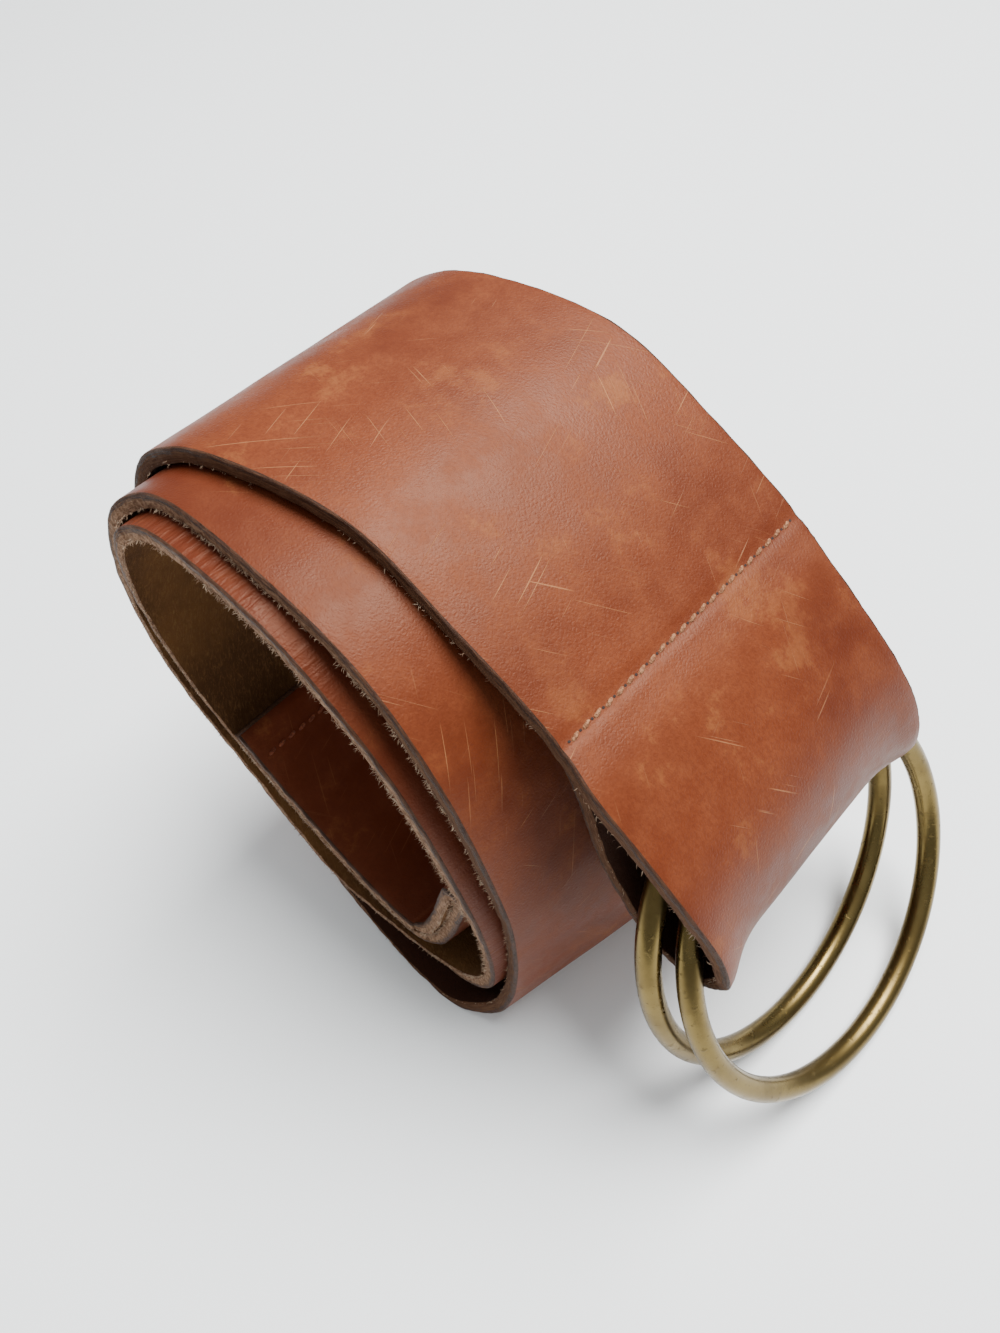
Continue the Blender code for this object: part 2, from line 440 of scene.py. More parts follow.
# Colours
TAN = (0.128, 0.0275, 0.0088)
DARK_TAN = (0.080, 0.0140, 0.0045)
PALE_TAN = (0.182, 0.047, 0.0150)
# Painted shade: the darker tan that the grain of the inner turns, inside the coil, is blended
# towards
INNER_TURN_SHADE = (0.070, 0.0115, 0.0045)
BENT_TAN = (0.22, 0.070, 0.030)
SCUFF_TAN = (0.30, 0.115, 0.034)
SCRATCH_TAN = (0.42, 0.19, 0.080)
DARK_FLESH = (0.055, 0.022, 0.007)
FLESH_BROWN = (0.105, 0.046, 0.014)
PALE_FLESH = (0.18, 0.090, 0.034)
EDGE_DARK = (0.026, 0.010, 0.005)
EDGE_BROWN = (0.066, 0.026, 0.011)
EDGE_GREY = (0.120, 0.058, 0.029)
EDGE_PALE = (0.30, 0.18, 0.11)
FIBRE_PALE = (0.50, 0.37, 0.26)
THREAD_DARK = (0.15, 0.060, 0.028)
THREAD_PALE = (0.30, 0.145, 0.075)
HEM_THREAD_DARK = (0.11, 0.026, 0.011)
HEM_THREAD_PALE = (0.22, 0.065, 0.030)
# Painted shade: the darker flesh colour on the tail, the loop, the outer turn and at the strap's end
LOOP_FLESH_SHADE = (0.028, 0.009, 0.004)
# Painted shade of the needle holes: colours of the dark beads that stand in for their recesses
HOLE_SHADE_BLACK = (0.006, 0.002, 0.001)
HOLE_SHADE_BROWN = (0.03, 0.01, 0.005)
BRASS_BRIGHT = (0.185, 0.133, 0.048)
BRASS_BROWN = (0.112, 0.077, 0.027)
BRASS_DARK = (0.06, 0.04, 0.018)
FLOOR_COLOUR = (0.88, 0.90, 0.90)
SKY_COLOUR = (0.95, 0.98, 1.0)
WARM_GLOSS = (1.0, 0.66, 0.48, 1.0)

# Floor, in metres
FLOOR_HALF = 3.0
FLOOR_ROUGHNESS = 0.6

# Light
SKY_ABOVE = 0.85
SKY_LOW = 0.32
SKY_FULL_HEIGHT = 0.9
LAMP_PLACE = (0.02, 0.42, 1.20)
LAMP_SIZE = (0.75, 0.75)
LAMP_POWER = 46.0

# Numbers of the strap's materials
GRAIN, FLESH, EDGE = 0, 1, 2


def belt_frames(route):
    """Near edge, way across and way into the leather at each row of the route."""
    across = np.column_stack(
        [np.sin(route[:, 3]), np.cos(route[:, 3]), np.zeros(len(route))]
    )
    flat = np.column_stack([route[:, 0], np.zeros(len(route)), route[:, 1]])
    near = flat + across * (BELT_WIDTH * route[:, 2] / np.cos(route[:, 3]))[:, None]
    way = np.gradient(near + across * BELT_WIDTH / 2, axis=0)
    inward = np.cross(way, across)
    inward /= np.linalg.norm(inward, axis=1)[:, None]
    return near, across, inward


def skin_profile():
    """Points round the strap's section as rows (across, depth), and the side of each face."""
    half = BELT_THICK / 2
    round_by = EDGE_ROUND
    rows = []
    sides = []
    for across in np.linspace(round_by, BELT_WIDTH - round_by, GRAIN_COLUMNS + 1):
        rows.append((across, 0.0))
        sides.append(GRAIN)
    sides[-1] = EDGE
    quarter = np.linspace(0.0, math.pi / 2, EDGE_COLUMNS)[1:]
    for turn in quarter:
        out = BELT_WIDTH - round_by + round_by * math.sin(turn)
        rows.append((out, round_by - round_by * math.cos(turn)))
        sides.append(EDGE)
    rows.append((BELT_WIDTH, half))
    sides.append(EDGE)
    rows.append((BELT_WIDTH, BELT_THICK - FLESH_CORNER))
    sides.append(EDGE)
    for across in np.linspace(BELT_WIDTH - FLESH_INSET, FLESH_INSET, FLESH_COLUMNS + 1):
        rows.append((across, BELT_THICK))
        sides.append(FLESH)
    sides[-1] = EDGE
    rows.append((0.0, BELT_THICK - FLESH_CORNER))
    sides.append(EDGE)
    rows.append((0.0, half))
    sides.append(EDGE)
    for turn in reversed(quarter):
        rows.append(
            (round_by - round_by * math.sin(turn), round_by - round_by * math.cos(turn))
        )
        sides.append(EDGE)
    return np.array(rows), sides


def along_route(route):
    """Distance along the strap from its raw edge, at each row of the route."""
    steps = np.linalg.norm(np.diff(route[:, :2], axis=0), axis=1)
    return np.concatenate([[0.0], np.cumsum(steps)])


def bump(value, middle, half):
    """1 at the middle, and softly down to 0 at a distance of half on either side."""
    return smooth_array(1.0 - np.abs(value - middle) / half)


def smooth_array(value):
    value = np.clip(value, 0.0, 1.0)
    return value * value * (3.0 - 2.0 * value)


def waves(places, across, seed, longest, count):
    """Soft random unevenness from a few sine waves, about -1 to 1."""
    draw = np.random.default_rng(seed)
    total = np.zeros(np.broadcast(places, across).shape)
    for _ in range(count):
        length = longest * draw.uniform(0.35, 1.0)
        turn = draw.uniform(0.0, math.pi)
        phase = draw.uniform(0.0, 2 * math.pi)
        distance = places * math.cos(turn) + across * math.sin(turn)
        total += np.sin(2 * math.pi * distance / length + phase)
    return total / count


def seam_places(places):
    """Distances along the strap of the seam in its under layer and in its top layer."""
    raw_edge_to_seam = 1
    loop_to_seam = len(LOOP_SECTIONS) + 1
    under = places[raw_edge_to_seam * STEPS_PER_SECTION]
    top = places[(raw_edge_to_seam + loop_to_seam) * STEPS_PER_SECTION]
    return under, top


def relief(strap, station, across):
    """How far the leather sinks at a station and a distance across, in millimetres."""
    places = strap[3]
    place = np.interp(station, np.arange(len(places)), places)
    fold = bump(station / STEPS_PER_SECTION, WAIST_MIDDLE, WAIST_HALF)
    near_flare = 1.0 - np.exp(-((across / WAIST_FLARE) ** 2))
    far_flare = 1.0 - WAIST_SPARED * np.exp(-(((BELT_WIDTH - across) / WAIST_FLARE) ** 2))
    sink = WAIST_DEPTH * fold * near_flare * far_flare
    for seam in seam_places(places):
        sink = sink + SEAM_DIP * np.exp(-(((place - seam) / SEAM_DIP_HALF) ** 2))
    for height, seed, longest, count in LEATHER_WAVES:
        sink += height * waves(place, across, seed, longest, count)
    return sink


def surface_point(strap, station, across, depth):
    """Point in the leather, with the way across and the way in there, in millimetres."""
    first = int(station)
    share = station - first
    rows = []
    for table in strap[:3]:
        rows.append(table[first] * (1 - share) + table[first + 1] * share)
    sink = float(relief(strap, station, across))
    return rows[0] + across * rows[1] + (depth + sink) * rows[2], rows[1], rows[2]


def station_at(places, place):
    """Row of the route, with its share, at a distance along the strap."""
    return float(np.interp(place, places, np.arange(len(places))))


def make_object(name, points, faces):
    """A smooth mesh piece that rides on the belt's one body."""
    mesh = bpy.data.meshes.new(name)
    mesh.from_pydata(np.asarray(points).tolist(), [], faces)
    mesh.update()
    mesh.shade_smooth()
    thing = bpy.data.objects.new(name, mesh)
    bpy.context.scene.collection.objects.link(thing)
    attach(thing, "root")
    return thing


def add_point_values(mesh, name, values):
    layer = mesh.attributes.new(name, "FLOAT", "POINT")
    layer.data.foreach_set("value", np.asarray(values, np.float32).ravel())


def add_strap(strap, route, materials):
    """The strap's skin, with its place along and round the section as UVs in centimetres."""
    near, ways, inward, places = strap
    profile, sides = skin_profile()
    count = len(profile)
    stations = len(route)
    across = profile[:, 0][None, :]
    along = places[:, None]
    sink = relief(strap, np.arange(stations)[:, None], across)
    depth = profile[:, 1][None, :] + sink
    fray = 0.0
    for height, seed, longest, number, squeeze in FRAY_WAVES:
        down_edge = profile[:, 1][None, :] * squeeze
        fray = fray + height * waves(along, down_edge, seed, longest, number)
    out = across + fray * (np.abs(across - BELT_WIDTH / 2) > BELT_WIDTH / 2 - FRAY_INSET)
    points = (
        near[:, None, :]
        + out[..., None] * ways[:, None, :]
        + depth[..., None] * inward[:, None, :]
    )
    points[..., 2] = np.maximum(points[..., 2], 0.0)
    points = points.reshape(-1, 3) / 1000
    corners = np.arange(stations * count).reshape(stations, count)
    after = np.roll(corners, -1, axis=1)
    quads = np.stack([corners[:-1], after[:-1], after[1:], corners[1:]], axis=-1).reshape(-1, 4)
    faces = quads.tolist()
    faces.append(corners[0][::-1].tolist())
    faces.append(corners[-1].tolist())
    mesh = bpy.data.meshes.new("strap_leather")
    mesh.from_pydata(points.tolist(), [], faces)
    mesh.update()
    for one in materials:
        mesh.materials.append(one)
    index = np.tile(np.array(sides, np.int32), stations - 1).tolist() + [EDGE, EDGE]
    mesh.polygons.foreach_set("material_index", index)
    mesh.shade_smooth()
    steps = np.linalg.norm(np.diff(profile, axis=0, append=profile[:1]), axis=1)
    round_section = np.concatenate([[0.0], np.cumsum(steps)]) / 10
    low = round_section[:-1]
    high = round_section[1:]
    uvs = np.zeros((stations - 1, count, 4, 2))
    uvs[:, :, 0, 1] = low
    uvs[:, :, 1, 1] = high
    uvs[:, :, 2, 1] = high
    uvs[:, :, 3, 1] = low
    uvs[:, :, 0:2, 0] = places[:-1, None, None] / 10
    uvs[:, :, 2:4, 0] = places[1:, None, None] / 10
    caps = []
    for rows in (profile[::-1], profile):
        caps.append(rows[:, ::-1] / 10)
    flat = np.concatenate([uvs.reshape(-1, 2)] + caps)
    layer = mesh.uv_layers.new(name="strap")
    layer.data.foreach_set("uv", flat.ravel())
    past_start = np.arange(stations) - inner_turns_start()
    inner = smooth_array(past_start / (INNER_FADE * STEPS_PER_SECTION))
    before_end = stations - 1 - np.arange(stations)
    at_end = smooth_array(before_end / (END_FADE * STEPS_PER_SECTION))
    add_point_values(mesh, "bend", np.repeat(bend_values(route, places), count))
    # The inner value also darkens the grain of the inner turns as painted shade
    add_point_values(mesh, "inner", np.repeat(inner, count))
    # The pale edge value also keeps the flesh of the inner turns out of its painted shade; elsewhere
    # the flesh is painted darker
    add_point_values(mesh, "pale_edge_and_unshaded_flesh", np.repeat(inner * at_end, count))
    add_point_values(mesh, "crease", np.repeat(crease_values(stations), count))
    add_point_values(mesh, "depth", np.tile(profile[:, 1] / BELT_THICK, stations))
    leather = bpy.data.objects.new("strap_leather", mesh)
    bpy.context.scene.collection.objects.link(leather)
    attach(leather, "root")
    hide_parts("strap")


def bend_values(route, places):
    """How tightly the grain side is stretched round a bend, 0 to 1 at each station."""
    way = np.gradient(route[:, :2], axis=0)
    turn = np.unwrap(np.arctan2(way[:, 1], way[:, 0]))
    tight = np.gradient(turn) / np.maximum(np.gradient(places), BEND_LEAST_STEP)
    kernel = np.ones(BEND_ROWS) / BEND_ROWS
    tight = np.convolve(np.pad(tight, BEND_ROWS // 2, mode="edge"), kernel, mode="valid")
    return np.clip(tight * BELT_THICK * BEND_CONTRAST, 0.0, 1.0)


def inner_turns_start():
    """Station near the first turn's end, where the looks of the inner turns start."""
    return (len(tail_controls()) + len(COIL_SECTIONS) - INNER_LEAD) * STEPS_PER_SECTION


def crease_values(stations):
    """Where the leather of the inner turns is squeezed into fine creases, 0 to 1."""
    number = np.arange(stations) / STEPS_PER_SECTION
    third = len(tail_controls()) + 2 * len(COIL_SECTIONS)
    crease = 0.0
    for middle, half, strength in CREASES:
        crease = crease + strength * bump(number, third + middle, half)
    return np.clip(crease, 0, 1)


def tubes(paths, radii, sides):
    """Points and faces of closed tubes along paths, each with its radius at each point."""
    points = []
    faces = []
    for path, radius in zip(paths, radii):
        path = np.asarray(path)
        way = np.gradient(path, axis=0)
        way /= np.linalg.norm(way, axis=1)[:, None]
        side = np.cross(way, TUBE_GUIDE)
        side /= np.linalg.norm(side, axis=1)[:, None]
        up = np.cross(side, way)
        turns = np.arange(sides) * 2 * math.pi / sides
        rings = (
            path[:, None, :]
            + radius[:, None, None] * np.cos(turns)[None, :, None] * side[:, None, :]
            + radius[:, None, None] * np.sin(turns)[None, :, None] * up[:, None, :]
        )
        first = sum(len(one) for one in points)
        points.append(rings.reshape(-1, 3))
        last = len(path) - 1
        for row in range(last):
            for corner in range(sides):
                after = (corner + 1) % sides
                one = first + row * sides
                other = one + sides
                faces.append((one + corner, one + after, other + after, other + corner))
        faces.append(tuple(first + corner for corner in reversed(range(sides))))
        faces.append(tuple(first + last * sides + corner for corner in range(sides)))
    return np.concatenate(points), faces


def add_stitches(name, strap, rows, thread):
    """Rows of stitches across the strap on its grain side: (place, start, end, count)."""
    places = strap[3]
    draw = np.random.default_rng(STITCH_SEED)
    paths = []
    radii = []
    share = np.linspace(0.0, 1.0, STITCH_POINTS)
    for place, start, end, count in rows:
        pitch = (end - start) / count
        for number in range(count):
            shift = draw.uniform(-STITCH_WANDER, STITCH_WANDER)
            path = []
            for step in share:
                across = start + pitch * (number + 0.5 + (step - 0.5) * STITCH_FILL)
                station = station_at(places, place + shift + STITCH_SLANT * (step - 0.5))
                lift = THREAD * (STITCH_ARCH * math.sin(math.pi * step) - STITCH_SUNK)
                path.append(surface_point(strap, station, across, -lift)[0] / 1000)
            paths.append(path)
            radii.append(THREAD / 2000 * (1.0 - STITCH_TAPER * (2 * share - 1) ** 4))
    points, faces = tubes(paths, radii, THREAD_SIDES)
    make_object(name, points, faces).data.materials.append(thread)


def add_holes(name, strap, rows, dark):
    """The needle holes at both ends of every stitch, as shallow beads on the grain that are painted
    dark as the shade in the holes.
    """
    points = []
    faces = []
    for place, start, end, count in rows:
        station = station_at(strap[3], place)
        for across in np.linspace(start, end, count + 1):
            middle, way, inward = surface_point(strap, station, across, -HOLE_LIFT)
            along = np.cross(inward, way)
            first = len(points)
            points.append(middle)
            for size, drop in HOLE_RINGS:
                for corner in range(HOLE_SIDES):
                    turn = corner * 2 * math.pi / HOLE_SIDES
                    flat = HOLE_HALF_ACROSS * math.cos(turn) * way
                    flat = flat + HOLE_HALF_ALONG * math.sin(turn) * along
                    points.append(middle + size * flat + drop * inward)
            inner = [first + 1 + corner for corner in range(HOLE_SIDES)]
            outer = [first + 1 + HOLE_SIDES + corner for corner in range(HOLE_SIDES)]
            for corner in range(HOLE_SIDES):
                after = (corner + 1) % HOLE_SIDES
                faces.append((first, inner[corner], inner[after]))
                faces.append((inner[corner], outer[corner], outer[after], inner[after]))
    beads = make_object(name, np.array(points) / 1000, faces)
    beads.data.materials.append(dark)


def add_fibres(strap, suede):
    """Loose fibres along the flesh side of both cut edges, thickest on the inner turns."""
    near, places = strap[0], strap[3]
    draw = np.random.default_rng(FIBRE_SEED)
    way_along = np.gradient(near, axis=0)
    way_along /= np.linalg.norm(way_along, axis=1)[:, None]
    points = []
    faces = []
    for _ in range(FIBRES):
        station = station_at(places, draw.uniform(0.0, places[-2]))
        bare = OUTER_TURN_BARE if station < inner_turns_start() else 0.0
        clump = sum(math.sin(station * pace + phase) for pace, phase in CLUMP_WAVES)
        if draw.uniform() < bare or clump < draw.uniform(*CLUMP_LIMITS):
            continue
        at_far_edge = draw.uniform() < FAR_EDGE_SHARE
        depth = BELT_THICK - abs(draw.normal(0.0, FIBRE_BAND)) + FIBRE_RISE
        across = BELT_WIDTH if at_far_edge else 0.0
        root, way, into = surface_point(strap, station, across, depth)
        out = way if at_far_edge else -way
        along = way_along[int(station)]
        sweep = draw.normal(0.0, FIBRE_SWEEP)
        lean_in = FIBRE_INWARD * abs(draw.normal())
        aim = unit(FIBRE_OUTWARD * out + lean_in * into + sweep * along)
        length = FIBRE_LENGTH * draw.uniform(FIBRE_SHORTEST, 1.0) ** FIBRE_SHORTNESS
        curl = unit(np.cross(aim, draw.normal(size=3)))
        flat = FIBRE_WIDTH * draw.uniform(0.3, 0.6) * unit(np.cross(aim, curl))
        start = root - FIBRE_ROOT * aim
        middle = root + 0.5 * length * aim
        tip = root + length * aim + FIBRE_CURL * length * curl
        first = len(points)
        points += [start - flat, start + flat, middle - flat, middle + flat, tip]
        faces.append((first, first + 1, first + 3, first + 2))
        faces.append((first + 2, first + 3, first + 4))
    fibres = make_object("edge_fibres", np.array(points) / 1000, faces)
    fibres.data.materials.append(suede)


def add_ring(name, place, lean, seed, brass):
    """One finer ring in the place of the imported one, with the unevenness of a cast wire."""
    draw = np.random.default_rng(seed)
    phases = draw.uniform(0.0, 2 * math.pi, len(WIRE_WAVES))
    rounds = np.arange(RING_ROWS) * 2 * math.pi / RING_ROWS
    turns = np.arange(WIRE_ROWS) * 2 * math.pi / WIRE_ROWS
    uneven = sum(np.sin(wave * rounds + phase) for wave, phase in zip(WIRE_WAVES, phases))
    wire = RING_WIRE / 2 - WIRE_SPARE + WIRE_UNEVEN * uneven
    reach = ring_radius() + wire[:, None] * np.cos(turns)
    points = np.stack(
        [
            reach * np.cos(rounds)[:, None],
            reach * np.sin(rounds)[:, None],
            wire[:, None] * np.sin(turns) * np.ones((RING_ROWS, 1)),
        ],
        axis=-1,
    )
    tilt = np.array(Matrix.Rotation(math.pi / 2 - lean, 3, "Y"))
    points = points.reshape(-1, 3) @ tilt.T + place
    corners = np.arange(RING_ROWS * WIRE_ROWS).reshape(RING_ROWS, WIRE_ROWS)
    after = np.roll(corners, -1, axis=0)
    beside = np.roll(corners, -1, axis=1)
    both = np.roll(after, -1, axis=1)
    faces = np.stack([corners, after, both, beside], axis=-1).reshape(-1, 4).tolist()
    ring = make_object(name + "_brass", points / 1000, faces)
    ring.data.materials.append(brass)
    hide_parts(name)


class Look:
    """A node material, built from noise laid out in the object's or in the strap's own places."""

    def __init__(self, name):
        self.made = bpy.data.materials.new(name)
        self.made.use_nodes = True
        self.nodes = self.made.node_tree.nodes
        self.links = self.made.node_tree.links
        self.shader = self.nodes["Principled BSDF"]
        self.place = self.nodes.new("ShaderNodeTexCoord").outputs["Object"]

    def strap_place(self, length, width, turn=0.0):
        """Places on the strap, in marks of a length and width in centimetres, turned to a slant."""
        layer = self.nodes.new("ShaderNodeUVMap")
        layer.uv_map = "strap"
        mapping = self.nodes.new("ShaderNodeMapping")
        mapping.vector_type = "TEXTURE"
        mapping.inputs["Rotation"].default_value = (0.0, 0.0, math.radians(turn))
        mapping.inputs["Scale"].default_value = (length, width, 1.0)
        self.links.new(layer.outputs["UV"], mapping.inputs["Vector"])
        return mapping.outputs["Vector"]

    def point_value(self, name):
        attribute = self.nodes.new("ShaderNodeAttribute")
        attribute.attribute_name = name
        return attribute.outputs["Fac"]

    def noise(self, place, scale, detail=3.0, roughness=0.5, distortion=0.0):
        noise = self.nodes.new("ShaderNodeTexNoise")
        noise.inputs["Scale"].default_value = scale
        noise.inputs["Detail"].default_value = detail
        noise.inputs["Roughness"].default_value = roughness
        noise.inputs["Distortion"].default_value = distortion
        self.links.new(place, noise.inputs["Vector"])
        return noise.outputs["Fac"]

    def cells(self, place, scale):
        cells = self.nodes.new("ShaderNodeTexVoronoi")
        cells.feature = "DISTANCE_TO_EDGE"
        cells.inputs["Scale"].default_value = scale
        self.links.new(place, cells.inputs["Vector"])
        return cells.outputs["Distance"]

    def ramp(self, value, low, high, start=0.0, end=1.0):
        """Softly from start to end, while the value goes from low to high."""
        ramp = self.nodes.new("ShaderNodeMapRange")
        ramp.interpolation_type = "SMOOTHSTEP"
        ramp.inputs["From Min"].default_value = low
        ramp.inputs["From Max"].default_value = high
        ramp.inputs["To Min"].default_value = start
        ramp.inputs["To Max"].default_value = end
        self.links.new(value, ramp.inputs["Value"])
        return ramp.outputs["Result"]

    def combine(self, kind, one, other):
        math_node = self.nodes.new("ShaderNodeMath")
        math_node.operation = kind
        for socket, value in zip(math_node.inputs, (one, other)):
            if isinstance(value, float):
                socket.default_value = value
            else:
                self.links.new(value, socket)
        return math_node.outputs["Value"]

    def blend(self, share, one, other):
        """One colour turning into another; each is a colour or a socket."""
        mix = self.nodes.new("ShaderNodeMix")
        mix.data_type = "RGBA"
        mix.clamp_factor = True
        self.links.new(share, mix.inputs["Factor"])
        colours = [socket for socket in mix.inputs if socket.type == "RGBA"]
        for socket, value in zip(colours, (one, other)):
            if isinstance(value, tuple):
                socket.default_value = (*value, 1.0)
            else:
                self.links.new(value, socket)
        return [socket for socket in mix.outputs if socket.type == "RGBA"][0]

    def scratches(self, turn, spread):
        """Long thin scratches at a slant in degrees, in loose patches over the strap."""
        lines = self.noise(self.strap_place(2.4, 0.045, turn), 1.0, 1.0, 0.5, 0.25)
        patches = self.noise(self.place, spread, 2.0)
        return self.combine("MULTIPLY", self.ramp(lines, 0.69, 0.73), self.ramp(patches, 0.52, 0.62))

    def relief(self, *heights):
        """Bumps one on another, each a (height, size in metres) pair."""
        normal = None
        for height, size in heights:
            bumps = self.nodes.new("ShaderNodeBump")
            bumps.inputs["Strength"].default_value = 1.0
            bumps.inputs["Distance"].default_value = size
            self.links.new(height, bumps.inputs["Height"])
            if normal:
                self.links.new(normal, bumps.inputs["Normal"])
            normal = bumps.outputs["Normal"]
        self.links.new(normal, self.shader.inputs["Normal"])

    def finish(self, colour, roughness, **numbers):
        """Link the colour and roughness, and set the shader's other numbers by their names."""
        self.links.new(colour, self.shader.inputs["Base Color"])
        self.links.new(roughness, self.shader.inputs["Roughness"])
        for name, value in numbers.items():
            self.shader.inputs[name.replace("_", " ")].default_value = value
        return self.made


def grain_leather():
    """Waxed tan grain: mottled, paler where it is bent, with pores, scratches and fine creases, and
    painted darker on the inner turns as shade.
    """
    look = Look("tan_grain")
    mottle = look.ramp(look.noise(look.place, 30.0, 4.0), 0.35, 0.68)
    cloud = look.ramp(look.noise(look.place, 150.0, 5.0, 0.6), 0.30, 0.75)
    bend = look.point_value("bend")
    crease = look.point_value("crease")
    grains = look.ramp(look.noise(look.strap_place(0.09, 0.08), 1.0, 5.0, 0.75), 0.42, 0.60)
    pores = look.noise(look.strap_place(0.055, 0.055), 1.0, 2.0, 0.6)
    pebbles = look.ramp(look.cells(look.strap_place(0.075, 0.07), 1.0), 0.0, 0.35)
    scratches = look.combine("MAXIMUM", look.scratches(24.0, 38.0), look.scratches(71.0, 46.0))
    scratches = look.combine("MAXIMUM", scratches, look.scratches(142.0, 33.0))
    inner = look.point_value("inner")
    scratches = look.combine("MULTIPLY", scratches, look.ramp(inner, 0.0, 1.0, 1.0, 0.25))
    scuff_shape = look.noise(look.place, 75.0, 6.0, 0.72)
    scuffs = look.combine("MULTIPLY", look.ramp(scuff_shape, 0.56, 0.66), mottle)
    wrinkles = look.noise(look.strap_place(0.16, 1.1), 1.0, 3.0, 0.55, 0.35)
    folds = look.combine("MULTIPLY", look.ramp(wrinkles, 0.30, 0.70), crease)
    colour = look.blend(mottle, DARK_TAN, TAN)
    layers = (
        # mask, strength, tone
        (cloud, 0.45, PALE_TAN),
        (grains, 0.42, DARK_TAN),
        (bend, 0.30, BENT_TAN),
        # painted shade on the grain of the inner turns
        (inner, 0.58, INNER_TURN_SHADE),
        (scuffs, 0.26, SCUFF_TAN),
        (scratches, 0.40, SCRATCH_TAN),
    )
    for mask, strength, tone in layers:
        colour = look.blend(look.combine("MULTIPLY", mask, strength), colour, tone)
    roughness = look.ramp(cloud, 0.0, 1.0, 0.42, 0.54)
    look.relief(
        (folds, 0.00035),
        (pebbles, 0.000018),
        (pores, 0.000048),
        (scratches, 0.00004),
    )
    return look.finish(colour, roughness, Specular_IOR_Level=0.26, Specular_Tint=WARM_GLOSS)


def flesh_leather():
    """The strap's rough inner side, matted brown suede, painted darker as shade on the tail, the
    loop, the outer turn and at the strap's end.
    """
    look = Look("tan_flesh")
    broad = look.ramp(look.noise(look.place, 45.0, 4.0), 0.35, 0.65)
    fine = look.noise(look.place, 1400.0, 4.0, 0.7)
    tangle = look.noise(look.strap_place(0.20, 0.05, 25.0), 1.0, 3.0, 0.7, 1.5)
    colour = look.blend(broad, DARK_FLESH, FLESH_BROWN)
    colour = look.blend(look.ramp(tangle, 0.45, 0.75, 0.0, 0.5), colour, PALE_FLESH)
    # Painted shade: the flesh goes to a darker colour on the tail, the loop, the outer turn and at
    # the strap's end
    colour = look.blend(look.point_value("pale_edge_and_unshaded_flesh"), LOOP_FLESH_SHADE, colour)
    roughness = look.ramp(fine, 0.3, 0.7, 0.86, 0.97)
    look.relief((tangle, 0.00025), (fine, 0.0002))
    return look.finish(colour, roughness, Specular_IOR_Level=0.12)


def cut_edge():
    """Edges: a dark skin at the grain, and towards the flesh side paler matted fibres."""
    look = Look("tan_edge")
    depth = look.point_value("depth")
    pale = look.point_value("pale_edge_and_unshaded_flesh")
    streaks = look.noise(look.strap_place(0.35, 0.03), 1.0, 4.0, 0.65, 0.6)
    fine = look.noise(look.place, 1100.0, 4.0, 0.7)
    inward = look.combine("ADD", depth, look.ramp(streaks, 0.3, 0.7, -0.18, 0.18))
    fibrous = look.ramp(inward, 0.16, 0.50)
    skin = look.blend(look.ramp(streaks, 0.35, 0.65), EDGE_DARK, EDGE_BROWN)
    body = look.blend(look.ramp(streaks, 0.35, 0.65), EDGE_BROWN, EDGE_GREY)
    fibres = look.blend(look.ramp(fine, 0.35, 0.65), EDGE_GREY, EDGE_PALE)
    worn = look.blend(pale, body, fibres)
    colour = look.blend(fibrous, skin, worn)
    roughness = look.ramp(fibrous, 0.0, 1.0, 0.55, 0.93)
    look.relief((streaks, 0.0003), (fine, 0.00022))
    return look.finish(colour, roughness, Specular_IOR_Level=0.18)


def fibre_look():
    """Loose fibres, a little paler than the edge that they stand on."""
    look = Look("tan_fibre")
    fine = look.ramp(look.noise(look.place, 600.0, 2.0), 0.35, 0.65)
    roughness = look.ramp(fine, 0.0, 1.0, 0.8, 0.9)
    return look.finish(look.blend(fine, EDGE_PALE, FIBRE_PALE), roughness)


def thread_look(name, dark, pale):
    """Waxed thread, twisted fine, in two tones."""
    look = Look(name)
    fine = look.ramp(look.noise(look.place, 2500.0, 3.0), 0.35, 0.65)
    look.relief((fine, 0.00008))
    roughness = look.ramp(fine, 0.0, 1.0, 0.6, 0.8)
    return look.finish(look.blend(fine, dark, pale), roughness, Specular_IOR_Level=0.15)


def hole_shade_look():
    """Painted shade of a needle hole's inside, near black."""
    look = Look("needle_hole_shade")
    fine = look.ramp(look.noise(look.place, 2500.0, 2.0), 0.35, 0.65)
    roughness = look.ramp(fine, 0.0, 1.0, 0.8, 0.95)
    return look.finish(look.blend(fine, HOLE_SHADE_BLACK, HOLE_SHADE_BROWN), roughness)


def ring_brass():
    """Antiqued brass: worn bright in places, with a brown patina in the rest, fine scratches."""
    look = Look("antiqued_brass")
    wear = look.ramp(look.noise(look.place, 60.0, 5.0, 0.6), 0.30, 0.70)
    specks = look.ramp(look.noise(look.place, 700.0, 4.0, 0.65), 0.58, 0.70)
    fine = look.noise(look.place, 2600.0, 3.0, 0.7)
    colour = look.blend(wear, BRASS_BROWN, BRASS_BRIGHT)
    colour = look.blend(look.combine("MULTIPLY", specks, 0.35), colour, BRASS_DARK)
    polish = look.ramp(wear, 0.0, 1.0, 0.36, 0.22)
    roughness = look.combine("ADD", polish, look.ramp(specks, 0.0, 1.0, 0.0, 0.2))
    look.relief((wear, 0.00002), (specks, 0.00002), (fine, 0.000008))
    return look.finish(colour, roughness, Metallic=1.0)


